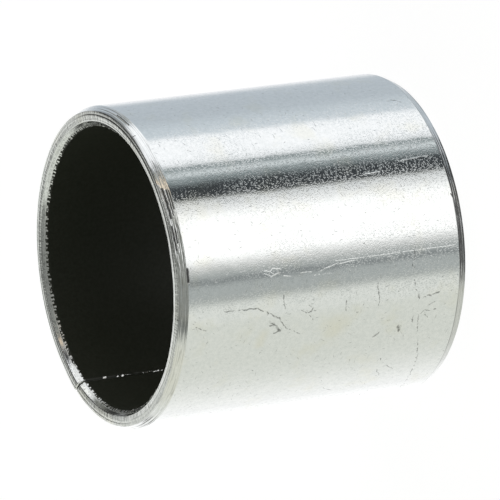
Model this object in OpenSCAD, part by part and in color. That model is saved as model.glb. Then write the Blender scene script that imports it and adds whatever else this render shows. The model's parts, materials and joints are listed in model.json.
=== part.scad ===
// Wrapped plain bushing, standing on one end.
// A strip of plated steel with a black dry-sliding liner on its inner face is rolled into a tube.
// The strip's two ends meet in a straight butt seam on the +Y side.

/* [Tube] */
// Bore diameter, across the sliding surface
bore_d = 22.3; // [12:0.1:60]
// Thickness of the lined strip
wall = 1.58; // [1.2:0.01:3]
// Length of the tube
length = 25.25; // [6:0.05:80]

/* [Liner] */
// Thickness of the sliding liner
liner_t = 0.2; // [0.08:0.01:0.4]

/* [Ends] */
// Depth of the outer lead-in chamfer, along the radius
lead_in_depth = 0.35; // [0.1:0.01:0.6]
// Length of the outer lead-in chamfer, along the axis
lead_in_len = 0.75; // [0.2:0.05:1.5]
// Depth of the inner chamfer, along the radius
mouth_depth = 0.4; // [0.1:0.01:0.6]
// Length of the inner chamfer, along the axis
mouth_len = 0.47; // [0.1:0.01:1]

/* [Seam] */
// Gap between the strip's ends, across the outer wall
seam_gap = 0.1; // [0.02:0.01:0.5]

/* [Hidden] */
$fn = 180;
bore_r = bore_d / 2;
outer_r = bore_r + wall;
bond_r = bore_r + liner_t;
seam_angle = 2 * asin(seam_gap / 2 / outer_r);
seam_side = 90;

// Section of the lined strip, from the bore at the left to the outer wall at the right.
module strip_section() {
    polygon([
        [bore_r, mouth_len],
        [bore_r + mouth_depth, 0],
        [outer_r - lead_in_depth, 0],
        [outer_r, lead_in_len],
        [outer_r, length - lead_in_len],
        [outer_r - lead_in_depth, length],
        [bore_r + mouth_depth, length],
        [bore_r, length - mouth_len]
    ]);
}

// The liner's share of the section, up to where it is bonded to the steel.
module liner_zone() {
    translate([bore_r, 0])
        square([bond_r - bore_r, length]);
}

// Rolls a section into a tube, open at the seam.
module rolled() {
    rotate([0, 0, seam_side + seam_angle / 2])
        rotate_extrude(angle = 360 - seam_angle)
            children();
}

module steel_backing() {
    color([0.80, 0.81, 0.80])
        rolled()
            difference() {
                strip_section();
                liner_zone();
            }
}

module sliding_liner() {
    color([0.09, 0.10, 0.09])
        rolled()
            intersection() {
                strip_section();
                liner_zone();
            }
}

steel_backing();
sliding_liner();
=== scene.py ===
"""Wrapped plain bushing: a plated steel strip with a black sliding liner, rolled up to a butt seam."""

import json
import math

import bmesh
import bpy
from mathutils import Euler, Matrix, Vector


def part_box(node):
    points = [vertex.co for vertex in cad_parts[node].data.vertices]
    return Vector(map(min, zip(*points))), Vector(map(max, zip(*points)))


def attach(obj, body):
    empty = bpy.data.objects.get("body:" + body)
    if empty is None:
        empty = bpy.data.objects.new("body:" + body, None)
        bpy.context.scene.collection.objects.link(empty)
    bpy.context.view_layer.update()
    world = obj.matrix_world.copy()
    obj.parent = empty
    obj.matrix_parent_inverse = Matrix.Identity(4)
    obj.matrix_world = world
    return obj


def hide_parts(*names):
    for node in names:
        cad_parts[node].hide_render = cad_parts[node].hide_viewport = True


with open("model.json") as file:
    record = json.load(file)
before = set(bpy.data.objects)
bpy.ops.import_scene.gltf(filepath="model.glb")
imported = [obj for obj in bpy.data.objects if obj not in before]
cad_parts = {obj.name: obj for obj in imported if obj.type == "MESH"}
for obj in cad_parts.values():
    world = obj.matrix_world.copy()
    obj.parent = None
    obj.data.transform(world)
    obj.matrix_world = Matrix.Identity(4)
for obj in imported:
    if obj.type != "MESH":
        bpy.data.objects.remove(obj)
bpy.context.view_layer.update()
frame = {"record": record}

# Sizes of the tube, in metres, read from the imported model
MM = 0.001
mounts = {mount["name"]: mount for mount in frame["record"]["mounts"]}
steel_low, steel_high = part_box("steel_backing")
liner_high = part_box("sliding_liner")[1]
LENGTH = steel_high.z - steel_low.z
OUTER_R = mounts["outside"]["dims"]["r_mm"] * MM
BORE_R = mounts["bore"]["dims"]["r_mm"] * MM
BOND_R = liner_high.x
LEAD_IN_LEN = (LENGTH - mounts["outside"]["dims"]["length_mm"] * MM) / 2
MOUTH_LEN = (LENGTH - mounts["bore"]["dims"]["length_mm"] * MM) / 2
LINER_DROP = LENGTH - liner_high.z
MOUTH_DEPTH = (BOND_R - BORE_R) / (1 - LINER_DROP / MOUTH_LEN)
MOUTH_R = BORE_R + MOUTH_DEPTH
FACE_R = 2 * mounts["upper_end"]["pos_m"][0] - MOUTH_R

# Length of one degree of the unrolled strip, in mm
DEGREE_MM = math.radians(1) * OUTER_R / MM

# Seam of the rolled strip, on the +Y side: its gap and slant, the bevels of the two strip ends, and how far
# the last end stands out and up, from a share of the way round
SEAM_GAP = 0.1 * MM
SEAM_SIDE = math.radians(90)
SEAM_ANGLE = 2 * math.asin(SEAM_GAP / 2 / OUTER_R)
SEAM_SLANT = math.radians(-1.46) / MM
SEAM_BEVEL = 0.09 * MM
SHELL_BREAK = 0.09 * MM
LINER_BREAK = 0.06 * MM
STRIP_STEP = 0.03 * MM
STRIP_RISE = 0.05 * MM
PROUD_FROM = 0.96
TURNS = 400
MERGE_DISTANCE = 0.0005 * MM
CREASE_ANGLE = math.radians(32)

# Edges and turned ends: the mouth chamfer is worn a little wider.
# A ring is (distance from the start of its stretch, depth, half width)
EDGE_ROUND = 0.05 * MM
MOUTH_WEAR = 0.07 * MM
LEAD_IN_ROUND = 0.12 * MM
ROUND_STEPS = 4
GUARD = 0.012 * MM
RING_STEP = 0.02 * MM
RING_MARGIN = 0.06 * MM
LEAD_IN_RINGS = (
    (0.13 * MM, 0.006 * MM, 0.04 * MM),
    (0.29 * MM, 0.014 * MM, 0.05 * MM),
    (0.56 * MM, 0.012 * MM, 0.04 * MM),
    (0.70 * MM, 0.007 * MM, 0.03 * MM),
)

# End face: it falls away to both sides of a low ridge, steeper along the mouth and the outer edge.
# A groove is (radius, depth, half width)
RIDGE_R = 11.95 * MM
MOUTH_BREAK_R = 11.68 * MM
EDGE_BREAK_R = 12.27 * MM
FALL_IN = math.tan(math.radians(4.2))
FALL_OUT = math.tan(math.radians(5.0))
FALL_AT_MOUTH = math.tan(math.radians(9))
FALL_AT_EDGE = math.tan(math.radians(6))
FACE_GROOVES = ((11.74 * MM, 0.004 * MM, 0.03 * MM), (12.12 * MM, 0.022 * MM, 0.05 * MM))

# Bronze grains laid bare along the cut edge of the liner, and burrs along the seam in the bore
BARE_DROP = 0.285 * MM
GRAINS = 360
GRAIN_SMALLEST = 0.03 * MM
GRAIN_LARGEST = 0.06 * MM
GRAIN_NEAREST = 0.15 * MM
GRAIN_FARTHEST = 0.25 * MM
GRAIN_STRETCH = 1.3
GRAIN_SEED = 11
BURR_SPACING = 0.16 * MM
BURR_SMALLEST = 0.015 * MM
BURR_LARGEST = 0.04 * MM
BURR_STRETCH = 1.8
BURR_FLATNESS = 0.4
BURR_TILT = math.radians(-36)
BURR_TURN = math.radians(12)
BURR_STRAY = 0.03 * MM
BURR_SEED = 21
BURR_RUNS = (
    (0.840, 0.826), (0.780, 0.766), (0.756, 0.736),
    (0.640, 0.600), (0.520, 0.470), (0.380, 0.330), (0.220, 0.100),
)
GLINT_HEIGHTS = (0.919, 0.914, 0.871, 0.853, 0.744, 0.738, 0.727, 0.716)
GLINT_R = 0.13 * MM
GLINT_SMALLEST = 0.6 * GLINT_R
GLINT_STRETCH = 1.1
GLINT_FLATNESS = 0.15

# Camera, fitted to the picture's frame
IMAGE_SIZE = 500
SENSOR_MM = 36
FOCAL_PX = 7000
CAMERA_AZIMUTH = math.radians(-49.26)
CAMERA_ELEVATION = math.radians(26.73)
CAMERA_ROLL = math.radians(-97.38)
MOUTH_DISTANCE = 545.5 * MM
MOUTH_PIXEL = (105.48, 268.88)


class Nodes:
    """A node tree, with short calls to add nodes and join them."""

    def __init__(self, tree):
        self.tree = tree
        tree.nodes.clear()

    def add(self, kind, inputs=None, **settings):
        """Adds a node. An input is a number, a colour or another node's output."""
        node = self.tree.nodes.new(kind)
        for key, value in settings.items():
            setattr(node, key, value)
        for key, value in (inputs or {}).items():
            if isinstance(value, bpy.types.NodeSocket):
                self.tree.links.new(value, node.inputs[key])
            else:
                node.inputs[key].default_value = value
        return node

    def math(self, operation, *values):
        return self.add("ShaderNodeMath", dict(enumerate(values)), operation=operation).outputs[0]

    def chain(self, operation, values):
        """One operation over two or more values, from the first to the last."""
        total = values[0]
        for value in values[1:]:
            total = self.math(operation, total, value)
        return total

    def plus(self, *values):
        return self.chain("ADD", values)

    def minus(self, value, taken):
        return self.math("SUBTRACT", value, taken)

    def times(self, *values):
        return self.chain("MULTIPLY", values)

    def most(self, *values):
        return self.chain("MAXIMUM", values)

    def vector(self, operation, *values):
        """Vector Math: its number for a length or a dot product, else its vector."""
        node = self.add("ShaderNodeVectorMath", dict(enumerate(values)), operation=operation)
        return node.outputs["Value" if operation in ("LENGTH", "DOT_PRODUCT") else "Vector"]

    def scaled(self, vector, factor):
        node = self.add("ShaderNodeVectorMath", {"Vector": vector, "Scale": factor}, operation="SCALE")
        return node.outputs["Vector"]

    def combine(self, x, y, z):
        return self.add("ShaderNodeCombineXYZ", {0: x, 1: y, 2: z}).outputs[0]

    def separate(self, vector):
        return self.add("ShaderNodeSeparateXYZ", {0: vector}).outputs

    def ramp(self, value, low, high, start=0.0, end=1.0):
        """Smooth step from start, at low, to end, at high."""
        inputs = {"Value": value, "From Min": low, "From Max": high, "To Min": start, "To Max": end}
        return self.add("ShaderNodeMapRange", inputs, interpolation_type="SMOOTHSTEP").outputs["Result"]

    def mix_colour(self, factor, first, second):
        inputs = {0: factor, 6: first, 7: second}
        return self.add("ShaderNodeMix", inputs, data_type="RGBA").outputs[2]

    def mix(self, factor, first, second):
        inputs = {0: factor, 2: first, 3: second}
        return self.add("ShaderNodeMix", inputs, data_type="FLOAT").outputs[0]

    def noise(self, vector, scale, detail=2.0, roughness=0.5, distortion=0.0):
        inputs = {
            "Vector": vector,
            "Scale": scale,
            "Detail": detail,
            "Roughness": roughness,
            "Distortion": distortion,
        }
        return self.add("ShaderNodeTexNoise", inputs).outputs["Fac"]

    def bump(self, height):
        """Normal of a relief with this height in millimetres."""
        inputs = {"Strength": 1.0, "Distance": MM, "Height": height}
        return self.add("ShaderNodeBump", inputs).outputs["Normal"]

    def principled(self, inputs):
        """Ends a material with one shader."""
        shader = self.add("ShaderNodeBsdfPrincipled", inputs)
        self.add("ShaderNodeOutputMaterial", {"Surface": shader.outputs[0]})


def socket(tree, name, kind="NodeSocketFloat", direction="INPUT"):
    return tree.interface.new_socket(name=name, in_out=direction, socket_type=kind)


# Finishes


def new_finish(name):
    """A material of this name, and its empty node tree."""
    material = bpy.data.materials.new(name)
    material.use_nodes = True
    return material, Nodes(material.node_tree)


def strip_coordinates(nodes):
    """Place in millimetres: in space, on the unrolled strip, along the strip from -Y, from the axis
    and from the nearer end."""
    place = nodes.scaled(nodes.add("ShaderNodeTexCoord").outputs["Object"], 1 / MM)
    x, y, height = nodes.separate(place)
    roll = nodes.math("ARCTAN2", x, nodes.times(y, -1.0))
    radius = nodes.vector("LENGTH", nodes.combine(x, y, 0.0))
    along = nodes.times(roll, OUTER_R / MM)
    from_end = nodes.math("MINIMUM", height, nodes.minus(LENGTH / MM, height))
    return place, nodes.combine(along, height, 0.0), along, radius, from_end


def mark_group():
    """Group: a soft line from one point of the strip to another, as a mask."""
    tree = bpy.data.node_groups.new("mark_line", "ShaderNodeTree")
    for name in ("Strip", "From", "To"):
        socket(tree, name, "NodeSocketVector")
    socket(tree, "Width")
    socket(tree, "Mask", direction="OUTPUT")
    nodes = Nodes(tree)
    given = nodes.add("NodeGroupInput").outputs
    run = nodes.vector("SUBTRACT", given["To"], given["From"])
    reach = nodes.vector("SUBTRACT", given["Strip"], given["From"])
    length_squared = nodes.vector("DOT_PRODUCT", run, run)
    share = nodes.math("DIVIDE", nodes.vector("DOT_PRODUCT", reach, run), length_squared)
    share = nodes.math("MINIMUM", nodes.most(share, 0.0), 1.0)
    away = nodes.vector("LENGTH", nodes.vector("SUBTRACT", reach, nodes.scaled(run, share)))
    nodes.add("NodeGroupOutput", {"Mask": nodes.ramp(away, 0.0, given["Width"], 1.0, 0.0)})
    return tree


# Handling marks on the outer wall: width in mm, then points as (degrees from -Y, share of the length
# from the foot)
DARK_MARKS = {
    "long_scratch": (0.083, (-69.7, 0.849), (-69.8, 0.739), (-72.3, 0.697), (-74.8, 0.654), (-79.0, 0.629)),
    "scratch_tail": (0.068, (-79.0, 0.629), (-82.1, 0.580)),
    "tangle": (0.135, (-75.8, 0.687), (-77.7, 0.665), (-79.8, 0.652)),
    "crack_top": (0.075, (-53.8, 0.179), (-59.4, 0.189), (-62.5, 0.195)),
    "crack_middle": (0.098, (-67.4, 0.186), (-70.5, 0.187), (-71.9, 0.175), (-74.5, 0.166)),
    "crack_low": (0.06, (-81.0, 0.165), (-85.5, 0.162), (-93.3, 0.144), (-100.3, 0.128), (-109.0, 0.120)),
    "crack_end": (0.053, (-109.0, 0.120), (-123.2, 0.107)),
    "upright_tick": (0.075, (-71.6, 0.426), (-75.6, 0.424)),
    "slant_tick": (0.068, (-73.5, 0.364), (-75.7, 0.373)),
    "hook": (0.068, (-66.3, 0.315), (-68.2, 0.318), (-71.3, 0.310), (-74.6, 0.311)),
    "dent": (0.15, (-84.5, 0.229), (-86.7, 0.226)),
    "small_dents": (0.09, (-85.9, 0.295), (-87.7, 0.314)),
    "low_tick": (0.068, (-105.3, 0.259), (-108.6, 0.237)),
    "low_curl": (0.06, (-103.6, 0.242), (-103.1, 0.231), (-105.9, 0.200)),
    "long_dash": (0.075, (-74.2, 0.152), (-73.0, 0.096)),
    "short_dash": (0.068, (-77.9, 0.135), (-76.8, 0.114)),
    "upright_dash": (0.068, (-80.3, 0.142), (-82.6, 0.131)),
    "crack_twin": (0.06, (-81.0, 0.185), (-83.5, 0.181)),
    "vee": (0.06, (-72.7, 0.580), (-74.1, 0.563), (-73.4, 0.530)),
    "vee_tail": (0.053, (-74.1, 0.563), (-77.1, 0.536)),
    "mouth_marks": (0.075, (-74.3, 0.939), (-76.0, 0.903)),
    "top_curve": (0.068, (4.1, 0.109), (4.2, 0.084), (2.5, 0.066)),
    "left_tick": (0.07, (-65.4, 0.646), (-68.2, 0.643), (-72.0, 0.638)),
    "squiggle": (0.07, (-71.3, 0.556), (-72.7, 0.541), (-74.0, 0.545)),
    "tangle_loop": (0.09, (-77.4, 0.686), (-77.3, 0.665), (-79.9, 0.649), (-80.3, 0.669)),
    "dent_loop": (0.07, (-84.8, 0.222), (-86.3, 0.221), (-87.9, 0.228), (-86.8, 0.238)),
    "loop_dash": (0.07, (-80.7, 0.159), (-79.2, 0.144), (-80.0, 0.125), (-79.1, 0.104)),
    "low_speck": (0.10, (-98.7, 0.260), (-99.6, 0.260)),
    "foot_tick": (0.07, (-112.9, 0.423), (-115.7, 0.381)),
    "foot_speck": (0.11, (-125.2, 0.241), (-126.4, 0.239)),
}
DARK_NICKS = {
    "edge_sliver": (0.17, (-53.0, 0.9685), (-57.4, 0.9685)),
    "slope_streak": (0.13, (-23.0, 0.9893), (-34.5, 0.9890)),
    "slope_low_streak": (0.085, (-24.0, 0.9800), (-33.5, 0.9803)),
    "slope_foot_streak": (0.085, (-24.5, 0.9745), (-31.5, 0.9742)),
    "slope_late_streak": (0.10, (-37.5, 0.9925), (-46.0, 0.9915)),
    "slope_late_twin": (0.08, (-38.5, 0.9850), (-43.5, 0.9856)),
    "slope_early_streak": (0.07, (19.0, 0.9820), (9.5, 0.9822)),
    "foot_ding": (0.09, (-39.9, 0.029), (-38.6, 0.033)),
    "rim_nick": (0.06, (2.9, 0.988), (2.9, 1.0)),
}
STAINS = {
    "warm_spot": (1.5, (-80.8, 0.465), (-81.5, 0.450)),
    "brown_streak": (0.7, (-80.5, 0.705), (-84.0, 0.715)),
}
BRIGHT_MARKS = {
    "slope_bright": (0.13, (-21.5, 0.9958), (-36.5, 0.9955)),
    "slope_bright_late": (0.09, (-40.0, 0.9885), (-47.0, 0.9880)),
    "slope_bright_low": (0.09, (-24.0, 0.9845), (-33.0, 0.9848)),
    "rub_scribble": (0.055, (-56.8, 0.715), (-57.7, 0.690), (-56.6, 0.679), (-57.1, 0.655)),
    "rub_scribble_low": (0.055, (-57.9, 0.709), (-58.6, 0.697), (-59.3, 0.687), (-58.3, 0.659)),
    "rub_scribble_cross": (0.045, (-56.9, 0.703), (-58.8, 0.673)),
    "rub_link": (0.05, (-59.6, 0.645), (-60.1, 0.615)),
    "rub_line": (0.032, (-56.7, 0.462), (-56.8, 0.384), (-56.7, 0.044)),
    "rub_start": (0.06, (-59.8, 0.523), (-57.6, 0.453)),
    "rub_twin": (0.05, (-58.0, 0.452), (-57.4, 0.398)),
    "rub_dash": (0.035, (-59.3, 0.587), (-59.5, 0.547)),
    "rub_low_dash": (0.03, (-60.7, 0.538), (-60.8, 0.480)),
    "rub_tick": (0.05, (-59.3, 0.326), (-60.4, 0.324)),
    "band_line": (0.07, (-24.2, 0.180), (-23.6, 0.119), (-23.4, 0.065)),
    "band_dash": (0.06, (-27.5, 0.313), (-27.1, 0.256)),
}


def marks_mask(nodes, strip, marks, group):
    """Strongest of all the lines at each place."""
    total = 0.0
    for width, *points in marks.values():
        for (start, low), (stop, high) in zip(points, points[1:]):
            inputs = {
                "Strip": strip,
                "From": (start * DEGREE_MM, low * LENGTH / MM, 0.0),
                "To": (stop * DEGREE_MM, high * LENGTH / MM, 0.0),
                "Width": width,
            }
            line = nodes.add("ShaderNodeGroup", inputs, node_tree=group).outputs["Mask"]
            total = nodes.most(total, line)
    return total


# Fine scratches: turn in degrees, then spacing across, spacing along and half width in mm,
# and share of places
HAIRLINES = (
    (20, 0.50, 5.0, 0.028, 0.45),
    (78, 0.45, 2.8, 0.032, 0.40),
    (-38, 0.50, 4.0, 0.028, 0.40),
    (-8, 0.60, 7.0, 0.028, 0.35),
    (112, 0.45, 2.4, 0.030, 0.40),
)
STROKES = (
    (15, 0.125, 0.42, 0.034, 0.60),
    (62, 0.12, 0.38, 0.033, 0.60),
    (104, 0.12, 0.36, 0.034, 0.60),
    (150, 0.125, 0.42, 0.034, 0.60),
)


def scratched(nodes, strip, rows):
    """Mask of short scratches: each row is a stretched, turned grid with a scratch in some of its cells."""
    total = 0.0
    for turn, across, length, width, share in rows:
        inputs = {"Vector": strip, "Rotation": (0.0, 0.0, math.radians(turn))}
        turned_strip = nodes.add("ShaderNodeMapping", inputs).outputs[0]
        squeezed = nodes.vector("MULTIPLY", turned_strip, (1 / length, 1 / across, 1.0))
        inputs = {"Vector": squeezed, "Scale": 1.0, "Randomness": 1.0}
        cells = nodes.add("ShaderNodeTexVoronoi", inputs, voronoi_dimensions="2D", feature="F1")
        chosen = nodes.math("LESS_THAN", nodes.separate(cells.outputs["Color"])[0], share)
        line = nodes.ramp(cells.outputs["Distance"], 0.0, width / across, 1.0, 0.0)
        total = nodes.most(total, nodes.times(line, chosen))
    return total


# Bare edge, in mm: how far its line strays in short and long waves, how soft it is, how far it has chipped
# beside the seam, and its teeth
EDGE_STRAY = 0.16
EDGE_DRIFT = 0.10
EDGE_BLUR = 0.012
CHIP_DEPTH = 0.09
CHIP_REACH = (1.8, 2.3)
TOOTH_STRAY = 0.25
TOOTH_SPACING = 0.36
TOOTH_START = (0.26, 0.33)
TOOTH_END = (0.37, 0.48)
TOOTH_HALF_WIDTH = (0.14, 0.32)


def bare_edge(nodes, place, along, from_end):
    """Bare metal on the mouth chamfers ends in a ragged line with a row of teeth: 0 on the metal, 1 on the
    liner."""
    ragged = nodes.minus(nodes.noise(place, 3.5, 2.0, 0.6), 0.5)
    drift = nodes.minus(nodes.noise(place, 0.35, 2.0), 0.5)
    line = nodes.plus(from_end, nodes.times(ragged, EDGE_STRAY), nodes.times(drift, EDGE_DRIFT))
    chipped = nodes.ramp(from_seam(nodes, place, BOND_R / MM), *CHIP_REACH, CHIP_DEPTH, 0.0)
    line = nodes.minus(line, chipped)
    covered = nodes.ramp(line, BARE_DROP / MM - EDGE_BLUR, BARE_DROP / MM + EDGE_BLUR)
    crooked = nodes.plus(along, nodes.times(ragged, TOOTH_STRAY))
    inputs = {"W": nodes.math("DIVIDE", crooked, TOOTH_SPACING), "Scale": 1.0, "Randomness": 0.8}
    cells = nodes.add("ShaderNodeTexVoronoi", inputs, voronoi_dimensions="1D", feature="F1")
    first, second, third = nodes.separate(cells.outputs["Color"])
    half_width = nodes.mix(first, *TOOTH_HALF_WIDTH)
    tooth = nodes.ramp(nodes.minus(cells.outputs["Distance"], half_width), -0.04, 0.04, 1.0, 0.0)
    start = nodes.minus(line, nodes.mix(second, *TOOTH_START))
    end = nodes.minus(line, nodes.mix(third, *TOOTH_END))
    tooth = nodes.times(tooth, nodes.ramp(start, -EDGE_BLUR, EDGE_BLUR))
    tooth = nodes.times(tooth, nodes.ramp(end, -EDGE_BLUR, EDGE_BLUR, 1.0, 0.0))
    return nodes.times(covered, nodes.minus(1.0, tooth))


def from_seam(nodes, place, radius):
    """Distance round the tube from the middle of the seam, in millimetres."""
    x, y, _ = nodes.separate(place)
    slant = nodes.times(nodes.minus(radius, MOUTH_R / MM), SEAM_SLANT * MM)
    turn = nodes.minus(nodes.math("ARCTAN2", y, x), nodes.plus(slant, SEAM_SIDE))
    return nodes.times(nodes.math("ABSOLUTE", turn), radius)


def band(nodes, value, middle, half_width):
    """1 at the middle of a band, 0 at its sides."""
    away = nodes.math("ABSOLUTE", nodes.minus(value, middle))
    return nodes.ramp(away, 0.0, half_width, 1.0, 0.0)


# Sides of the rim, as (middle, half width) in degrees from -Y: a dirty face groove and outer edge,
# a torn lead-in, and a browned one
DIRTY_GROOVE = (-3, 46)
DIRTY_EDGE = (14, 18)
TORN_LEAD_IN = (-33, 22)
BROWNED_LEAD_IN = (-94, 14)
SIDE_BLUR = 7


def on_side(nodes, along, middle, half_width):
    """1 on one side of the tube, 0 on the rest, with soft ends."""
    away = nodes.math("ABSOLUTE", nodes.minus(along, middle * DEGREE_MM))
    start = (half_width - SIDE_BLUR) * DEGREE_MM
    stop = (half_width + SIDE_BLUR) * DEGREE_MM
    return nodes.ramp(away, start, stop, 1.0, 0.0)


# Colours of the steel
DULL_PLATE = (0.775, 0.792, 0.782, 1.0)
CLEAN_PLATE = (0.86, 0.868, 0.857, 1.0)
WARM_PLATE = (0.80, 0.79, 0.70, 1.0)
BROWN_PLATE = (0.80, 0.775, 0.67, 1.0)
# Dark colour of dirt in marks and grooves, also painted as shade in and beside the seam and along the foot
DIRT_AND_SHADE = (0.10, 0.10, 0.095, 1.0)
NICK_BLACK = (0.02, 0.02, 0.02, 1.0)
LINER_REMAINS = (0.026, 0.028, 0.021, 1.0)

# Relief of the steel, in mm. Rubbed marks have one height on the wall and one on the turned ends,
# and tool rings have one where clean and one where torn
MILL_GRAIN = 0.0013
WALL_SWAY = 0.014
STROKE_DEPTH = 0.0042
SCRATCH_DEPTH = 0.004
RUBBED_HEIGHT = (0.006, 0.022)
TOOL_RING_HEIGHT = (0.014, 0.045)
SPOKE_HEIGHT = 0.026

# Soft borders and bands on the steel, in mm
WALL_BLUR = 0.05
SEAM_BLUR = 0.006
BOND_MARGIN = 0.01
SEAM_BAND = 0.07
RIM_BAND = 0.10
FOOT_BAND = 0.08


class Plating:
    """Surface of the plated steel, as the masks that its relief, colour and roughness share."""

    def __init__(self, nodes):
        self.nodes = nodes
        self.place, self.strip, self.along, self.radius, self.from_end = strip_coordinates(nodes)
        self.height = nodes.separate(self.place)[2]
        self.find_regions()
        self.find_seam()
        self.draw_marks()
        self.draw_rings()

    def find_regions(self):
        """The outer wall is mill finish, the end faces and chamfers are turned."""
        nodes = self.nodes
        wall_start = LEAD_IN_LEN / MM
        self.on_wall = nodes.ramp(self.from_end, wall_start - WALL_BLUR, wall_start + WALL_BLUR)
        self.turned_end = nodes.minus(1.0, self.on_wall)
        self.on_slope = nodes.math("GREATER_THAN", self.radius, FACE_R / MM)
        self.on_face = nodes.minus(nodes.math("GREATER_THAN", self.radius, MOUTH_R / MM), self.on_slope)
        self.on_chamfer = nodes.math("LESS_THAN", self.radius, MOUTH_R / MM)
        at_mouth = nodes.math("GREATER_THAN", self.height, (LENGTH - LEAD_IN_LEN) / MM)
        mouth_lead_in = nodes.times(self.on_slope, at_mouth)
        self.torn = nodes.times(on_side(nodes, self.along, *TORN_LEAD_IN), mouth_lead_in)
        self.browned = nodes.times(on_side(nodes, self.along, *BROWNED_LEAD_IN), mouth_lead_in)

    def find_seam(self):
        """Painted shade in and beside the open seam, and what is left of the liner inside the mouth."""
        nodes = self.nodes
        half_gap = SEAM_GAP / 2 / MM
        seam_away = from_seam(nodes, self.place, self.radius)
        # Painted shade on the strip ends inside the open seam: dark, and mostly not metal
        self.seam_gap_shade = nodes.ramp(seam_away, half_gap, half_gap + SEAM_BLUR, 1.0, 0.0)
        # Painted shade in a band just past the bevels beside the seam
        self.beside_seam_shade = band(nodes, seam_away, half_gap + SEAM_BEVEL / MM + SEAM_BAND, SEAM_BAND)
        inside = nodes.math("LESS_THAN", self.radius, BOND_R / MM + BOND_MARGIN)
        self.covered = nodes.times(bare_edge(nodes, self.place, self.along, self.from_end), inside)

    def draw_marks(self):
        """Handling marks and scratches, drawn on a strip that wavers a little."""
        nodes = self.nodes
        inputs = {"Vector": self.place, "Scale": 2.2, "Detail": 3.0}
        wobble = nodes.add("ShaderNodeTexNoise", inputs).outputs["Color"]
        wobble = nodes.vector("SUBTRACT", wobble, (0.5, 0.5, 0.5))
        wavering = nodes.vector("ADD", self.strip, nodes.scaled(wobble, 0.45))
        steady = nodes.vector("ADD", self.strip, nodes.scaled(wobble, 0.12))
        group = mark_group()
        broken = nodes.ramp(nodes.noise(self.place, 4.0, 3.0, 0.6), 0.34, 0.50, 0.45, 1.0)
        dark = nodes.times(marks_mask(nodes, wavering, DARK_MARKS, group), broken)
        self.nicks = marks_mask(nodes, steady, DARK_NICKS, group)
        self.dark = nodes.most(dark, self.nicks)
        patchy = nodes.ramp(nodes.noise(self.place, 5.0, 3.0, 0.6), 0.36, 0.50)
        self.bright = nodes.times(marks_mask(nodes, steady, BRIGHT_MARKS, group), patchy)
        self.stained = marks_mask(nodes, wavering, STAINS, group)
        self.scratches = nodes.times(scratched(nodes, wavering, HAIRLINES), self.on_wall)
        busy = nodes.minus(nodes.noise(self.place, 0.22, 2.0, 0.5), nodes.times(self.height, 0.013))
        busy = nodes.ramp(busy, 0.10, 0.46, 0.30, 0.9)
        self.strokes = nodes.times(scratched(nodes, steady, STROKES), busy)

    def draw_rings(self):
        """Tool rings of the turned ends, and the smears of dirt along them."""
        nodes = self.nodes
        across = nodes.times(self.radius, 9.0)
        up = nodes.times(self.height, 9.0)
        ring_place = nodes.combine(across, up, nodes.times(self.along, 0.6))
        self.rings = nodes.noise(ring_place, 1.0, 2.0)
        self.smear = nodes.ramp(nodes.noise(ring_place, 0.35, 2.0), 0.36, 0.60, 0.35, 1.0)

    def wall_relief(self):
        """Height of the outer wall: grain, a slow sway and strokes."""
        nodes = self.nodes
        grain = nodes.times(nodes.noise(self.place, 4.5, 2.0, 0.5, 0.8), MILL_GRAIN)
        sway = nodes.times(nodes.noise(self.place, 0.5, 1.0), WALL_SWAY)
        return nodes.plus(grain, sway, nodes.times(self.strokes, -STROKE_DEPTH))

    def end_relief(self):
        """Height of the turned ends: rings, fainter on the inner chamfers, and spokes on the end faces."""
        nodes = self.nodes
        rings = nodes.times(self.rings, nodes.mix(self.torn, *TOOL_RING_HEIGHT))
        rings = nodes.times(rings, nodes.mix(nodes.most(self.on_face, self.on_slope), 0.5, 1.0))
        out = nodes.times(self.radius, 0.9)
        up = nodes.times(self.height, 0.9)
        spoke_place = nodes.combine(nodes.times(self.along, 5.0), out, up)
        spokes = nodes.times(nodes.noise(spoke_place, 1.0, 2.0), SPOKE_HEIGHT)
        return nodes.plus(rings, nodes.times(spokes, self.on_face))

    def relief(self):
        """Normal of the wall and the turned ends, with marks cut in and rubbed marks standing out."""
        nodes = self.nodes
        surface = nodes.mix(self.turned_end, self.wall_relief(), self.end_relief())
        cuts = nodes.times(nodes.most(self.scratches, self.dark), -SCRATCH_DEPTH)
        raised = nodes.times(self.bright, nodes.mix(self.turned_end, *RUBBED_HEIGHT))
        return nodes.bump(nodes.plus(surface, nodes.plus(cuts, raised)))

    def plate_colour(self):
        """Pale plating with faint warm stains."""
        nodes = self.nodes
        mottle = nodes.ramp(nodes.noise(self.place, 3.0, 4.0, 0.7), 0.3, 0.7)
        plate = nodes.mix_colour(mottle, DULL_PLATE, CLEAN_PLATE)
        warm = nodes.ramp(nodes.noise(self.place, 0.33, 3.0, 0.6), 0.52, 0.72)
        plate = nodes.mix_colour(nodes.times(warm, 0.45), plate, WARM_PLATE)
        browned = nodes.most(nodes.times(self.browned, 0.4), nodes.times(self.stained, 0.5))
        return nodes.mix_colour(browned, plate, BROWN_PLATE)

    def wall_dirt_and_shade(self):
        """Dirt in the marks and scratches, and dirt with painted shade along the foot of the wall."""
        nodes = self.nodes
        marks = nodes.most(nodes.times(self.dark, 0.85), nodes.times(self.scratches, 0.55))
        faint = nodes.times(self.strokes, self.on_wall, 0.10)
        # Brownish dirt along the foot edge of the wall, darkened further as painted shade
        at_foot = nodes.math("LESS_THAN", self.height, LENGTH / 2 / MM)
        foot_dirt_and_shade = nodes.times(band(nodes, self.from_end, LEAD_IN_LEN / MM, FOOT_BAND), at_foot)
        return nodes.most(marks, faint, nodes.times(foot_dirt_and_shade, self.smear, 0.75))

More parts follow.
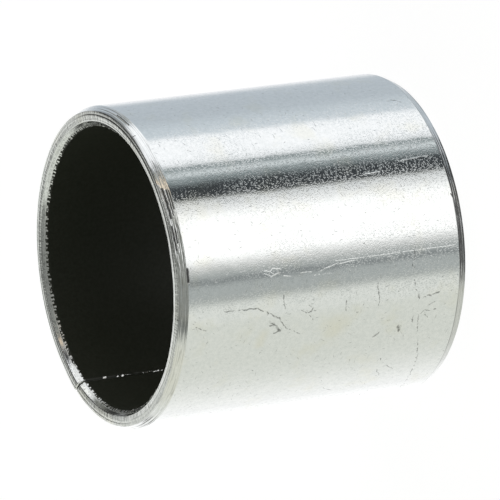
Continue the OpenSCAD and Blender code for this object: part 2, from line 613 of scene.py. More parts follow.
    def face_dirt(self):
        """Dirt in the grooves and along the outer edge of the end faces, most of it on one side."""
        nodes = self.nodes
        dirt = nodes.times(nodes.ramp(self.rings, 0.56, 0.68), nodes.mix(self.torn, 0.30, 0.75))
        soiled = nodes.mix(on_side(nodes, self.along, *DIRTY_GROOVE), 0.12, 1.0)
        soiled = nodes.times(self.smear, soiled)
        for groove_radius, _, half_width in FACE_GROOVES:
            line = band(nodes, self.radius, groove_radius / MM, 2.2 * half_width / MM)
            dirt = nodes.most(dirt, nodes.times(line, soiled))
        edge_line = band(nodes, self.radius, FACE_R / MM, RIM_BAND)
        edge_line = nodes.times(edge_line, on_side(nodes, self.along, *DIRTY_EDGE))
        return nodes.most(dirt, nodes.times(edge_line, 0.8))

    def lead_in_dirt(self):
        """Dirt in the rings of the lead-ins, most of it where they are torn."""
        nodes = self.nodes
        slope = LEAD_IN_LEN / math.hypot(LEAD_IN_LEN, OUTER_R - FACE_R)
        ring_dirt = nodes.times(self.smear, nodes.mix(self.torn, 0.25, 0.6))
        dirt = 0.0
        for slide, _, half_width in LEAD_IN_RINGS:
            line = band(nodes, self.from_end, slide * slope / MM, 1.2 * half_width / MM)
            dirt = nodes.most(dirt, nodes.times(line, self.on_slope, ring_dirt))
        return dirt

    def end_dirt_and_shade(self):
        """Dirt of the turned ends in their grooves and rings and on the inner chamfers, and painted shade
        beside the seam.
        """
        nodes = self.nodes
        specks = nodes.ramp(nodes.noise(self.place, 5.0, 3.0, 0.6), 0.46, 0.66, 0.0, 0.42)
        specks = nodes.times(specks, self.on_chamfer)
        # Painted shade beside the seam
        seam_side_shade = nodes.times(self.beside_seam_shade, 0.6)
        dirt = nodes.most(self.face_dirt(), self.lead_in_dirt(), specks, seam_side_shade)
        return nodes.times(dirt, self.turned_end)

    def colour(self):
        """Plating under its dirt, painted shade and nicks, and what is left of the liner inside the mouth.
        """
        nodes = self.nodes
        # Real dirt in marks and grooves, and painted shade in and beside the seam and along the foot
        dirt = nodes.most(self.wall_dirt_and_shade(), self.end_dirt_and_shade(), self.seam_gap_shade)
        colour = nodes.mix_colour(dirt, self.plate_colour(), DIRT_AND_SHADE)
        colour = nodes.mix_colour(self.nicks, colour, NICK_BLACK)
        return nodes.mix_colour(self.covered, colour, LINER_REMAINS)

    def metallic(self):
        """Metal, apart from the liner, the painted shade in the open seam and the nicks."""
        nodes = self.nodes
        gaps = nodes.times(nodes.most(self.seam_gap_shade, self.nicks), 0.9)
        return nodes.minus(1.0, nodes.most(self.covered, gaps))

    def roughness(self):
        """Smooth plating, a little rougher in patches, on the turned ends and in the marks."""
        nodes = self.nodes
        patchy = nodes.times(nodes.noise(self.place, 1.6, 3.0), 0.05)
        marked = nodes.times(nodes.most(self.dark, self.bright), 0.15)
        return nodes.plus(0.055, patchy, nodes.times(self.turned_end, 0.05), marked)


def plated_steel():
    """Bright plating with fine strokes, scratches, dark handling marks, faint stains and turned ends."""
    material, nodes = new_finish("plated_steel")
    plating = Plating(nodes)
    inputs = {
        "Base Color": plating.colour(),
        "Metallic": plating.metallic(),
        "Roughness": plating.roughness(),
        "Normal": plating.relief(),
    }
    nodes.principled(inputs)
    return material


# Colours of the liner and of the metal laid bare at its edges, and the liner's relief in mm
DEEP_BLACK = (0.026, 0.029, 0.020, 1.0)
DUSTY_BLACK = (0.038, 0.041, 0.031, 1.0)
# Painted sheen: grey for the edges of the seam in the bore, which catch light
SEAM_SHEEN_GREY = (0.10, 0.104, 0.095, 1.0)
BARE_METAL = (0.82, 0.83, 0.81, 1.0)
DARK_GRAIN = (0.70, 0.70, 0.66, 1.0)
PALE_GRAIN = (0.92, 0.92, 0.90, 1.0)
LINER_RELIEF = 0.005


def black_liner():
    """Matte black sliding layer with a painted grey sheen along the seam and bare metal along its cut edges.
    """
    material, nodes = new_finish("black_liner")
    place, _, along, radius, from_end = strip_coordinates(nodes)
    metal = nodes.minus(1.0, bare_edge(nodes, place, along, from_end))
    mottle = nodes.ramp(nodes.noise(place, 4.0, 4.0, 0.7), 0.3, 0.7)
    black = nodes.mix_colour(mottle, DEEP_BLACK, DUSTY_BLACK)
    # worn: painted grey sheen along the seam in the bore, in patches and near both ends
    worn = nodes.ramp(from_seam(nodes, place, radius), 0.10, 0.20, 1.0, 0.0)
    patches = nodes.ramp(nodes.noise(place, 0.8, 3.0, 0.6), 0.42, 0.6)
    near_end = nodes.ramp(from_end, 3.0, 4.5, 1.0, 0.0)
    black = nodes.mix_colour(nodes.times(worn, nodes.most(patches, near_end)), black, SEAM_SHEEN_GREY)
    inputs = {
        "Base Color": nodes.mix_colour(metal, black, BARE_METAL),
        "Metallic": metal,
        "Roughness": nodes.mix(metal, 0.42, 0.33),
        "Specular IOR Level": 0.25,
        "Normal": nodes.bump(nodes.times(nodes.noise(place, 6.0, 3.0, 0.6), LINER_RELIEF)),
    }
    nodes.principled(inputs)
    return material


def bare_grains():
    """Bare metal of the grains and burrs, paler and darker in turn."""
    material, nodes = new_finish("bare_grains")
    place = nodes.scaled(nodes.add("ShaderNodeTexCoord").outputs["Object"], 1 / MM)
    tone = nodes.noise(place, 4.0, 2.0)
    inputs = {
        "Base Color": nodes.mix_colour(tone, DARK_GRAIN, PALE_GRAIN),
        "Metallic": 1.0,
        "Roughness": nodes.mix(tone, 0.18, 0.35),
    }
    nodes.principled(inputs)
    return material


# Sections of the strip, as closed outlines of (distance from the axis, height)


def rounded(corners):
    """Closed outline through corners that have their own radius, with close points that keep flats flat."""
    outline = []
    count = len(corners)
    for index, (corner, radius) in enumerate(corners):
        if not radius:
            outline.append(corner)
            continue
        before = (corners[index - 1][0] - corner).normalized()
        after = (corners[(index + 1) % count][0] - corner).normalized()
        half = before.angle(after) / 2
        reach = radius / math.tan(half)
        centre = corner + (before + after).normalized() * radius / math.sin(half)
        outline.append(corner + before * (reach + GUARD))
        for step in range(ROUND_STEPS + 1):
            chord = (corner + before * reach).lerp(corner + after * reach, step / ROUND_STEPS)
            outline.append(centre + (chord - centre).normalized() * radius)
        outline.append(corner + after * (reach + GUARD))
    return outline


def turned(start, stop, rings):
    """Points between two corners of a turned stretch, with ring grooves cut into it."""
    run = stop - start
    length = run.length
    into = Vector((run.y, -run.x)) / length
    count = round((length - 2 * RING_MARGIN) / RING_STEP)
    points = []
    for step in range(count + 1):
        way = RING_MARGIN + (length - 2 * RING_MARGIN) * step / count
        dip = 0.0
        for place, depth, half_width in rings:
            dip += depth * math.exp(-(((way - place) / half_width) ** 2))
        points.append((start + run * way / length + into * dip, 0))
    return points


def face_fall(r):
    """How far the end face lies below its ridge, at a distance from the axis."""
    fall = max(RIDGE_R - r, 0) * FALL_IN + max(r - RIDGE_R, 0) * FALL_OUT
    fall += max(MOUTH_BREAK_R - r, 0) * FALL_AT_MOUTH + max(r - EDGE_BREAK_R, 0) * FALL_AT_EDGE
    for place, depth, half_width in FACE_GROOVES:
        fall += depth * math.exp(-(((r - place) / half_width) ** 2))
    return fall


def end_face(start, stop):
    """Points of the end face between its two edges."""
    count = round((stop - start - 2 * RING_MARGIN) / RING_STEP)
    points = []
    for step in range(count + 1):
        r = start + RING_MARGIN + (stop - start - 2 * RING_MARGIN) * step / count
        points.append((Vector((r, LENGTH - face_fall(r))), 0))
    return points


def steel_outline():
    """Section of the steel: its mouth half, from the bond line to the wall, and its mirror at the foot."""
    mouth_slope = MOUTH_LEN / MOUTH_DEPTH
    worn_r = MOUTH_R + MOUTH_WEAR
    lip_inset = face_fall(worn_r) / (mouth_slope - FALL_IN - FALL_AT_MOUTH)
    bond = Vector((BOND_R, LENGTH - (worn_r - BOND_R) * mouth_slope))
    lip = Vector((worn_r - lip_inset, LENGTH - lip_inset * mouth_slope))
    edge = Vector((FACE_R, LENGTH - face_fall(FACE_R)))
    wall = Vector((OUTER_R, LENGTH - LEAD_IN_LEN))
    mouth_half = [
        (bond, 0),
        (lip, EDGE_ROUND),
        *end_face(lip.x, edge.x),
        (edge, EDGE_ROUND),
        *turned(edge, wall, LEAD_IN_RINGS),
        (wall, LEAD_IN_ROUND),
    ]
    foot_half = [(Vector((point.x, LENGTH - point.y)), radius) for point, radius in reversed(mouth_half)]
    return rounded(mouth_half + foot_half)


def liner_outline():
    """Section of the liner, from the bond line to the sliding surface."""
    corners = [
        (Vector((BOND_R, LENGTH - LINER_DROP)), 0),
        (Vector((BOND_R, LINER_DROP)), 0),
        (Vector((BORE_R, MOUTH_LEN)), EDGE_ROUND),
        (Vector((BORE_R, LENGTH - MOUTH_LEN)), EDGE_ROUND),
    ]
    return rounded(corners)


# Values that the rolling tree is given
ROLLING_VALUES = (
    "Seam Side", "Seam Angle", "Seam Slant", "Slant Radius", "Strip Step", "Strip Rise", "Inner Radius",
    "Outer Radius", "Middle Height", "Outer Bevel", "Inner Bevel", "End Bevel", "Bevel Angle",
)


def strip_angle(nodes, given, r, step, at_start, at_stop):
    """Angle after a number of steps: the first and the last step are the bevels, and the seam slants."""
    way = nodes.math("DIVIDE", nodes.minus(step, 1.0), nodes.minus(given["Turns"], 2.0))
    way = nodes.math("MINIMUM", nodes.most(way, 0.0), 1.0)
    sweep = nodes.minus(2 * math.pi, given["Seam Angle"])
    span = nodes.minus(sweep, nodes.times(given["Bevel Angle"], 2.0))
    bevels = nodes.minus(nodes.plus(at_stop, 1.0), at_start)
    slant = nodes.times(nodes.minus(r, given["Slant Radius"]), given["Seam Slant"])
    start = nodes.plus(given["Seam Side"], nodes.times(given["Seam Angle"], 0.5))
    return nodes.plus(nodes.times(span, way), nodes.times(given["Bevel Angle"], bevels), slant, start)


def placed(nodes, given, r, z, share):
    """Position at a share of the way round: both ends are bevelled, and the last stands proud."""
    step = nodes.times(share, given["Turns"])
    at_start = nodes.math("LESS_THAN", step, 0.5)
    at_stop = nodes.math("GREATER_THAN", step, nodes.minus(given["Turns"], 0.5))
    at_end = nodes.plus(at_start, at_stop)
    angle = strip_angle(nodes, given, r, step, at_start, at_stop)
    thickness = nodes.minus(given["Outer Radius"], given["Inner Radius"])
    across = nodes.math("DIVIDE", nodes.minus(r, given["Inner Radius"]), thickness)
    bevel = nodes.mix(across, given["Inner Bevel"], nodes.times(given["Outer Bevel"], -1.0))
    proud = nodes.ramp(share, PROUD_FROM, 1.0)
    out = nodes.plus(r, nodes.times(proud, given["Strip Step"]), nodes.times(bevel, at_end))
    towards_middle = nodes.math("SIGN", nodes.minus(given["Middle Height"], z))
    trim = nodes.times(towards_middle, at_end, given["End Bevel"])
    up = nodes.plus(z, nodes.times(proud, given["Strip Rise"]), trim)
    x = nodes.times(out, nodes.math("COSINE", angle))
    y = nodes.times(out, nodes.math("SINE", angle))
    return nodes.combine(x, y, up)


def strip_wall(nodes, given):
    """Wall of the strip: a grid of section points by turns."""
    section = given["Section"]
    size = nodes.add("GeometryNodeAttributeDomainSize", {"Geometry": section}).outputs["Point Count"]
    inputs = {
        "Size X": 1.0,
        "Size Y": 1.0,
        "Vertices X": nodes.plus(size, 1.0),
        "Vertices Y": nodes.plus(given["Turns"], 1.0),
    }
    grid = nodes.add("GeometryNodeMeshGrid", inputs).outputs["Mesh"]
    across, turn, _ = nodes.separate(nodes.add("GeometryNodeInputPosition").outputs[0])
    point = nodes.times(nodes.plus(across, 0.5), size)
    point = nodes.math("MODULO", nodes.math("ROUND", point), size)
    corner = nodes.add("GeometryNodeInputPosition").outputs[0]
    inputs = {"Geometry": section, "Value": corner, "Index": point}
    sampler = nodes.add("GeometryNodeSampleIndex", inputs, data_type="FLOAT_VECTOR", domain="POINT")
    r, z, _ = nodes.separate(sampler.outputs["Value"])
    inputs = {"Geometry": grid, "Position": placed(nodes, given, r, z, nodes.plus(turn, 0.5))}
    return nodes.add("GeometryNodeSetPosition", inputs).outputs[0]


def strip_caps(nodes, given):
    """Caps of the strip: the filled section at the first and last share."""
    outline = nodes.add("GeometryNodeMeshToCurve", {"Mesh": given["Section"]}).outputs[0]
    filled = nodes.add("GeometryNodeFillCurve", {"Curve": outline}).outputs[0]
    caps = []
    for share in (0.0, 1.0):
        r, z, _ = nodes.separate(nodes.add("GeometryNodeInputPosition").outputs[0])
        inputs = {"Geometry": filled, "Position": placed(nodes, given, r, z, share)}
        caps.append(nodes.add("GeometryNodeSetPosition", inputs).outputs[0])
    return caps


def welded(nodes, parts):
    """Parts joined into one smooth mesh with sharp corners."""
    joined = nodes.add("GeometryNodeJoinGeometry")
    for part in parts:
        nodes.tree.links.new(part, joined.inputs[0])
    inputs = {"Geometry": joined.outputs[0], "Distance": MERGE_DISTANCE}
    merged = nodes.add("GeometryNodeMergeByDistance", inputs).outputs[0]
    inputs = {"Geometry": merged, "Shade Smooth": True}
    smooth = nodes.add("GeometryNodeSetShadeSmooth", inputs).outputs[0]
    bend = nodes.add("GeometryNodeInputMeshEdgeAngle").outputs["Unsigned Angle"]
    corner = nodes.math("GREATER_THAN", bend, CREASE_ANGLE)
    inputs = {"Geometry": smooth, "Selection": corner, "Shade Smooth": False}
    return nodes.add("GeometryNodeSetShadeSmooth", inputs, domain="EDGE").outputs[0]


def rolling_tree():
    """Geometry Nodes: rolls a closed section round the axis and bevels and caps its ends at the seam."""
    tree = bpy.data.node_groups.new("roll_strip", "GeometryNodeTree")
    socket(tree, "Section", "NodeSocketGeometry")
    socket(tree, "Turns", "NodeSocketInt")
    for name in ROLLING_VALUES:
        socket(tree, name)
    socket(tree, "Material", "NodeSocketMaterial")
    socket(tree, "Tube", "NodeSocketGeometry", "OUTPUT")
    nodes = Nodes(tree)
    given = nodes.add("NodeGroupInput").outputs
    tube = welded(nodes, [strip_wall(nodes, given), *strip_caps(nodes, given)])
    finish(nodes, tube, given["Material"], "Tube")
    return tree


def finish(nodes, geometry, material, output):
    """Ends a tree: real geometry with its material."""
    solid = nodes.add("GeometryNodeRealizeInstances", {"Geometry": geometry}).outputs[0]
    solid = nodes.add("GeometryNodeSetMaterial", {"Geometry": solid, "Material": material}).outputs[0]
    nodes.add("NodeGroupOutput", {output: solid})


def random_number(nodes, low, high, seed):
    """Random number between two values. Sockets of this node share names, so they are picked by place."""
    node = nodes.add("FunctionNodeRandomValue", data_type="FLOAT")
    for index, value in ((2, low), (3, high), (8, seed)):
        if isinstance(value, bpy.types.NodeSocket):
            nodes.tree.links.new(value, node.inputs[index])
        else:
            node.inputs[index].default_value = value
    return node.outputs[1]


def grains_on(nodes, points, given, seed):
    """Small faceted balls on points, sized and turned at random, flattened across and stretched along."""
    ball = nodes.add("GeometryNodeMeshIcoSphere", {"Radius": 1.0, "Subdivisions": 1}).outputs["Mesh"]
    size = random_number(nodes, given["Smallest"], given["Largest"], seed)
    thin = nodes.times(size, given["Flatness"])
    scale = nodes.combine(size, thin, nodes.times(size, given["Stretch"]))
    back = nodes.times(given["Turn"], -1.0)
    turn = nodes.combine(given["Tilt"], 0.0, random_number(nodes, back, given["Turn"], seed + 1))
    inputs = {"Points": points, "Instance": ball, "Rotation": turn, "Scale": scale}
    return nodes.add("GeometryNodeInstanceOnPoints", inputs).outputs[0]


def mouth_grain_tree():
    """Geometry Nodes: grains scattered along the cut edges of the liner, every second one at the foot."""
    tree = bpy.data.node_groups.new("mouth_grains", "GeometryNodeTree")
    socket(tree, "Start", "NodeSocketGeometry")
    socket(tree, "Count", "NodeSocketInt")
    for name in ("Bond Radius", "Bond Height", "Length", "Chamfer Angle", "Nearest", "Farthest"):
        socket(tree, name)
    for name in ("Smallest", "Largest", "Stretch", "Flatness", "Tilt", "Turn"):
        socket(tree, name)
    socket(tree, "Material", "NodeSocketMaterial")
    socket(tree, "Grains", "NodeSocketGeometry", "OUTPUT")
    nodes = Nodes(tree)
    given = nodes.add("NodeGroupInput").outputs
    spots = nodes.add("GeometryNodeMeshLine", {"Count": given["Count"]}).outputs[0]
    angle = random_number(nodes, 0.0, 2 * math.pi, GRAIN_SEED)
    slide = random_number(nodes, given["Nearest"], given["Farthest"], GRAIN_SEED + 1)
    inward = nodes.times(slide, nodes.math("COSINE", given["Chamfer Angle"]))
    down = nodes.times(slide, nodes.math("SINE", given["Chamfer Angle"]))
    r = nodes.minus(given["Bond Radius"], inward)
    z = nodes.minus(given["Bond Height"], down)
    at_foot = nodes.math("MODULO", nodes.add("GeometryNodeInputIndex").outputs[0], 2.0)
    z = nodes.mix(at_foot, z, nodes.minus(given["Length"], z))
    x = nodes.times(r, nodes.math("COSINE", angle))
    y = nodes.times(r, nodes.math("SINE", angle))
    inputs = {"Geometry": spots, "Position": nodes.combine(x, y, z)}
    spots = nodes.add("GeometryNodeSetPosition", inputs).outputs[0]
    finish(nodes, grains_on(nodes, spots, given, GRAIN_SEED + 2), given["Material"], "Grains")
    return tree


def seam_burr_tree():
    """Geometry Nodes: burrs strung along the runs of a line, a little off it."""
    tree = bpy.data.node_groups.new("seam_burrs", "GeometryNodeTree")
    socket(tree, "Runs", "NodeSocketGeometry")
    for name in ("Spacing", "Stray", "Smallest", "Largest", "Stretch", "Flatness", "Tilt", "Turn"):
        socket(tree, name)
    socket(tree, "Material", "NodeSocketMaterial")
    socket(tree, "Burrs", "NodeSocketGeometry", "OUTPUT")
    nodes = Nodes(tree)
    given = nodes.add("NodeGroupInput").outputs
    line = nodes.add("GeometryNodeMeshToCurve", {"Mesh": given["Runs"]}).outputs[0]
    inputs = {"Curve": line, "Length": given["Spacing"]}
    spots = nodes.add("GeometryNodeCurveToPoints", inputs, mode="LENGTH").outputs["Points"]
    back = nodes.times(given["Stray"], -1.0)
    across = random_number(nodes, back, given["Stray"], BURR_SEED)
    up = random_number(nodes, back, given["Stray"], BURR_SEED + 1)
    offset = nodes.combine(across, 0.0, up)
    spots = nodes.add("GeometryNodeSetPosition", {"Geometry": spots, "Offset": offset}).outputs[0]
    finish(nodes, grains_on(nodes, spots, given, BURR_SEED + 2), given["Material"], "Burrs")
    return tree


def grown(name, mesh, tree, values):
    """A piece made by a node tree from a start mesh, turned into a plain mesh with its faces outwards."""
    piece = bpy.data.objects.new(name, mesh)
    bpy.context.scene.collection.objects.link(piece)
    modifier = piece.modifiers.new(tree.name, "NODES")
    modifier.node_group = tree
    for item in tree.interface.items_tree:
        if item.in_out == "INPUT" and item.name in values:
            modifier[item.identifier] = values[item.name]
    evaluated = piece.evaluated_get(bpy.context.evaluated_depsgraph_get())
    result = bpy.data.meshes.new_from_object(evaluated)
    piece.modifiers.clear()
    faces = bmesh.new()
    faces.from_mesh(result)
    bmesh.ops.recalc_face_normals(faces, faces=faces.faces)
    faces.to_mesh(result)
    faces.free()
    piece.data = result
    result.name = name
    return piece


def line_mesh(name, points, edges):
    mesh = bpy.data.meshes.new(name)
    mesh.from_pydata(points, edges, [])
    return mesh


def rolled(name, outline, tree, material, outer_bevel, inner_bevel):
    """A strip with this section, rolled round the axis, its ends bevelled on the outside and the inside."""
    radii = [point.x for point in outline]
    count = len(outline)
    values = {
        "Turns": TURNS,
        "Seam Side": SEAM_SIDE,
        "Seam Angle": SEAM_ANGLE,
        "Seam Slant": SEAM_SLANT,
        "Slant Radius": MOUTH_R,
        "Inner Radius": min(radii),
        "Outer Radius": max(radii),
        "Middle Height": LENGTH / 2,
        "Outer Bevel": outer_bevel,
        "Inner Bevel": inner_bevel,
        "End Bevel": max(outer_bevel, inner_bevel),
        "Bevel Angle": SEAM_BEVEL / OUTER_R,
        "Strip Step": STRIP_STEP,
        "Strip Rise": STRIP_RISE,
        "Material": material,
    }
    points = [(point.x, point.y, 0.0) for point in outline]
    edges = [(index, (index + 1) % count) for index in range(count)]
    return grown(name, line_mesh(name + "_section", points, edges), tree, values)


def mouth_grains(material):
    """Grains along the cut edges of the liner, on the chamfers of both ends."""
    values = {
        "Count": GRAINS,
        "Bond Radius": BOND_R,
        "Bond Height": LENGTH - LINER_DROP,
        "Length": LENGTH,
        "Chamfer Angle": math.atan2(MOUTH_LEN, MOUTH_DEPTH),
        "Nearest": GRAIN_NEAREST,
        "Farthest": GRAIN_FARTHEST,
        "Smallest": GRAIN_SMALLEST,
        "Largest": GRAIN_LARGEST,
        "Stretch": GRAIN_STRETCH,
        "Flatness": 1.0,
        "Tilt": 0.0,
        "Turn": math.pi,
        "Material": material,
    }
    return grown("mouth_grains", line_mesh("grain_start", [(0, 0, 0)], []), mouth_grain_tree(), values)


def strung(name, heights, tree, values):
    """Burrs on runs up the bore edge of the seam. Heights come in pairs: the two ends of each run."""
    angle = SEAM_SIDE + SEAM_SLANT * (BORE_R - MOUTH_R)
    points = [(BORE_R * math.cos(angle), BORE_R * math.sin(angle), height) for height in heights]
    edges = [(index, index + 1) for index in range(0, len(points), 2)]
    return grown(name, line_mesh(name + "_runs", points, edges), tree, values)


def seam_burrs(material):
    """Burrs along the bore edge of the seam, with a few larger glints among them."""
    tree = seam_burr_tree()
    small = {
        "Spacing": BURR_SPACING,
        "Stray": BURR_STRAY,
        "Smallest": BURR_SMALLEST,
        "Largest": BURR_LARGEST,
        "Stretch": BURR_STRETCH,
        "Flatness": BURR_FLATNESS,
        "Tilt": BURR_TILT,
        "Turn": BURR_TURN,
        "Material": material,
    }
    large = {
        **small,
        "Spacing": GLINT_R,
        "Smallest": GLINT_SMALLEST,
        "Largest": GLINT_R,
        "Stretch": GLINT_STRETCH,
        "Flatness": GLINT_FLATNESS,
    }
    burr_heights = [share * LENGTH for run in BURR_RUNS for share in run]
    glint_heights = [share * LENGTH + end * GLINT_R / 4 for share in GLINT_HEIGHTS for end in (-1, 1)]
    burrs = strung("seam_burrs", burr_heights, tree, small)
    glints = strung("seam_glints", glint_heights, tree, large)
    return burrs, glints


# Studio


def panel_group():
    """Group: paints one soft-edged panel on the surround, between two azimuths and two elevations."""
    tree = bpy.data.node_groups.new("surround_panel", "ShaderNodeTree")
    socket(tree, "Behind", "NodeSocketColor")
    socket(tree, "Azimuth")
    socket(tree, "Elevation")
    for name in ("Middle", "Half Width", "Side Blur", "Lean", "Spread", "Low", "High", "End Blur"):
        socket(tree, name)
    socket(tree, "Light", "NodeSocketColor")
    socket(tree, "Surround", "NodeSocketColor", "OUTPUT")
    nodes = Nodes(tree)
    given = nodes.add("NodeGroupInput").outputs
    lean = nodes.times(given["Elevation"], given["Lean"])
    off = nodes.minus(nodes.minus(given["Azimuth"], given["Middle"]), lean)
    off = nodes.math("ABSOLUTE", nodes.math("WRAP", off, 180.0, -180.0))
    half = nodes.plus(given["Half Width"], nodes.times(given["Elevation"], given["Spread"]))
    inner = nodes.minus(half, given["Side Blur"])
    outer = nodes.plus(half, given["Side Blur"])
    mask = nodes.ramp(off, inner, outer, 1.0, 0.0)
    for edge, start, end in (("Low", 0.0, 1.0), ("High", 1.0, 0.0)):
        below = nodes.minus(given[edge], given["End Blur"])
        above = nodes.plus(given[edge], given["End Blur"])
        mask = nodes.times(mask, nodes.ramp(given["Elevation"], below, above, start, end))
    nodes.add("NodeGroupOutput", {"Surround": nodes.mix_colour(mask, given["Behind"], given["Light"])})
    return tree


# Panels of the surround, in the order they are hung, in degrees: middle, half width and blur in azimuth,
# lean and spread with elevation, lowest, highest and blur in elevation, then the panel's light
ROOM_LIGHT = (0.28, 0.29, 0.27, 1.0)
ALL_ROUND = 200
LOWEST = -110
PANELS = {
    "ceiling": (0, ALL_ROUND, 1, 0, 0, 56, 120, 7, (0.17, 0.17, 0.165)),
    "far_wall": (47, 34, 12, 0, 0, LOWEST, 27.5, 6, (0.92, 0.93, 0.90)),
    "pale_upper": (41, 24, 8, 0, 0, 24, 37, 3, (0.53, 0.54, 0.52)),
    "dark_stand": (39.6, 4.6, 1.2, 0, 0, 29, 60, 2, (0.12, 0.125, 0.115)),
    "dark_upper": (22, 10, 3, 0, 0, 26, 58, 3, (0.07, 0.07, 0.07)),
    "pale_wall": (123.4, 51, 5, -0.5, 0, LOWEST, 62, 6, (0.755, 0.775, 0.72)),
    "pale_edge": (178.6, 7, 3, 0, 0, LOWEST, 0, 6, (0.81, 0.83, 0.79)),
    "white_side": (43.5, 55, 42, 0, 0, LOWEST, 3, 11, (1.22, 1.22, 1.23)),
    "side_shade": (28, 12, 8, 0, 0, LOWEST, -14, 5, (0.945, 0.96, 0.985)),
    "side_floor": (85, 70, 20, 0, 0, LOWEST, -42, 14, (0.64, 0.65, 0.60)),
    "blue_side": (345, 35.4, 9, 0, 0, LOWEST, -1, 5, (0.53, 0.585, 0.64)),
    "dark_corner": (9, 18, 10, 0, 0, 0, 54, 5, (0.04, 0.04, 0.04)),
    "dark_sill": (68, 22, 6, 0, 0, -3, 8.5, 3, (0.05, 0.05, 0.05)),
    "blue_glow": (318.4, 14, 8, 0, 0, LOWEST, 3, 6, (0.645, 0.71, 0.765)),
    "dark_gap": (275.6, 13.8, 1.3, 0, 0, LOWEST, 2, 6, (0.05, 0.056, 0.062)),
    "gap_edge": (282, 7.6, 3.6, 0, 0, LOWEST, 4, 6, (0.29, 0.335, 0.345)),
    "grey_strip": (281.8, 2.3, 1.5, 0, 0, LOWEST, 4, 6, (0.72, 0.77, 0.79)),
    "box_frame": (308.2, 19.5, 1.2, 0.225, 0.225, LOWEST, 52, 4, (1.00, 1.02, 1.05)),
    "soft_box": (310.5, 17.2, 4, 0.225, 0.225, LOWEST, 52, 4, (1.13, 1.145, 1.175)),
    "dark_slot": (296.5, 6.5, 1.5, 0, 0, 30, 60, 4, (0.05, 0.05, 0.05)),
    "bright_bar": (263, 11, 3, 0, 0, 29, 39, 2.5, (1.1, 1.1, 1.08)),
    "warm_post": (266.9, 3.7, 1.4, 0.37, 0, 6, 36, 4, (1.32, 1.11, 0.87)),
    "warm_post_top": (266.9, 3.3, 1.4, 0.37, 0, 36, 56, 4, (0.86, 0.69, 0.53)),
    "slate": (198.9, 11.5, 6, 0, 0, LOWEST, 2, 8, (0.45, 0.48, 0.475)),
    "table_edge": (240.4, 20.2, 1.2, 0, 0, LOWEST, 10, 4, (0.80, 0.82, 0.83)),
    "white_table": (232.2, 19.3, 8, 0, 0, LOWEST, 10, 4, (1.30, 1.30, 1.30)),
    "slate_line": (202.2, 2.2, 1.8, 0, 0, LOWEST, 2, 8, (0.26, 0.28, 0.285)),
    "dark_post": (184.4, 5, 2.5, -0.5, 0, 8, 34, 4, (0.17, 0.18, 0.17)),
    "under_table": (248, 100, 12, 0, 0, LOWEST, -58, 4, (0.05, 0.05, 0.05)),
    "under_all": (0, ALL_ROUND, 1, 0, 0, LOWEST, -71, 4, (0.12, 0.12, 0.12)),
}


def studio_surround():
    """World: what the metal mirrors is a ring of soft panels; behind the part the picture is white."""
    world = bpy.data.worlds.new("studio_surround")
    bpy.context.scene.world = world
    world.use_nodes = True
    nodes = Nodes(world.node_tree)
    x, y, z = nodes.separate(nodes.add("ShaderNodeTexCoord").outputs["Generated"])
    azimuth = nodes.math("DEGREES", nodes.math("ARCTAN2", y, x))
    elevation = nodes.math("DEGREES", nodes.math("ARCSINE", z))
    group = panel_group()
    surround = ROOM_LIGHT
    for middle, half, blur, lean, spread, low, high, end_blur, light in PANELS.values():
        inputs = {
            "Behind": surround,
            "Azimuth": azimuth,
            "Elevation": elevation,
            "Middle": middle,
            "Half Width": half,
            "Side Blur": blur,
            "Lean": lean,
            "Spread": spread,
            "Low": low,
            "High": high,
            "End Blur": end_blur,
            "Light": (*light, 1.0),
        }
        surround = nodes.add("ShaderNodeGroup", inputs, node_tree=group).outputs["Surround"]
    seen = nodes.add("ShaderNodeLightPath").outputs["Is Camera Ray"]
    colour = nodes.mix_colour(seen, surround, (1.0, 1.0, 1.0, 1.0))
    background = nodes.add("ShaderNodeBackground", {"Color": colour, "Strength": 1.0})
    nodes.add("ShaderNodeOutputWorld", {"Surface": background.outputs[0]})


# Table top under the part
FLOOR_SIZE = 2.0
FLOOR_GREY = (0.25, 0.25, 0.25, 1.0)
FLOOR_WHITE = (1.0, 1.0, 1.0, 1.0)
FLOOR_GLOW = 0.9


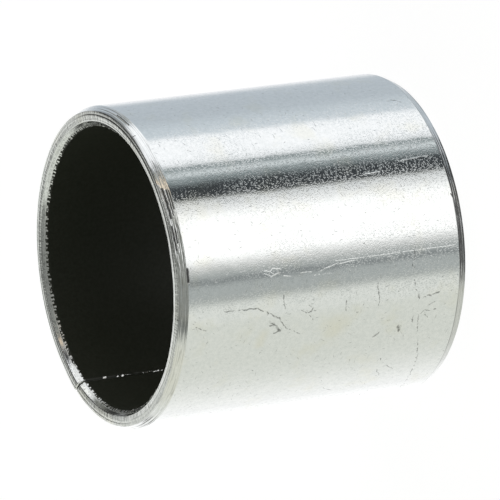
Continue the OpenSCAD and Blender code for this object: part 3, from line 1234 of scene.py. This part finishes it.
def floor():
    """White table top that keeps a faint shadow. The metal mirrors the surround, not the table."""
    half = FLOOR_SIZE / 2
    corners = [(-half, -half, 0), (half, -half, 0), (half, half, 0), (-half, half, 0)]
    mesh = bpy.data.meshes.new("floor")
    mesh.from_pydata(corners, [], [(0, 1, 2, 3)])
    table = bpy.data.objects.new("floor", mesh)
    bpy.context.scene.collection.objects.link(table)
    table.visible_glossy = False
    table.visible_shadow = False
    material, nodes = new_finish("white_table")
    paper = nodes.add("ShaderNodeBsdfDiffuse", {"Color": FLOOR_GREY}).outputs[0]
    glow = nodes.add("ShaderNodeEmission", {"Color": FLOOR_WHITE, "Strength": FLOOR_GLOW}).outputs[0]
    surface = nodes.add("ShaderNodeAddShader", {0: paper, 1: glow}).outputs[0]
    nodes.add("ShaderNodeOutputMaterial", {"Surface": surface})
    mesh.materials.append(material)


def camera():
    """Camera of the picture: the middle of the mouth falls on its pixel, at its distance."""
    data = bpy.data.cameras.new("camera")
    data.sensor_width = SENSOR_MM
    data.lens = FOCAL_PX / IMAGE_SIZE * SENSOR_MM
    view = bpy.data.objects.new("camera", data)
    bpy.context.scene.collection.objects.link(view)
    bpy.context.scene.camera = view
    upright = Euler((math.pi / 2 - CAMERA_ELEVATION, 0, CAMERA_AZIMUTH)).to_matrix()
    turn = upright @ Matrix.Rotation(CAMERA_ROLL, 3, "Z")
    right = (MOUTH_PIXEL[0] - IMAGE_SIZE / 2) / FOCAL_PX
    up = (IMAGE_SIZE / 2 - MOUTH_PIXEL[1]) / FOCAL_PX
    mouth = Vector((0, 0, LENGTH))
    place = mouth - turn @ Vector((right, up, -1)) * MOUTH_DISTANCE
    view.matrix_world = Matrix.Translation(place) @ turn.to_4x4()


studio_surround()
floor()
camera()
bpy.context.scene.view_settings.view_transform = "Standard"

steel_finish = plated_steel()
liner_finish = black_liner()
grain_finish = bare_grains()
rolling = rolling_tree()
shell = rolled("rolled_shell", steel_outline(), rolling, steel_finish, SHELL_BREAK, SHELL_BREAK)
liner = rolled("rolled_liner", liner_outline(), rolling, liner_finish, 0.0, LINER_BREAK)
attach(shell, "root")
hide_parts("steel_backing")
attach(liner, "root")
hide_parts("sliding_liner")
for detail in (mouth_grains(grain_finish), *seam_burrs(grain_finish)):
    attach(detail, "root")
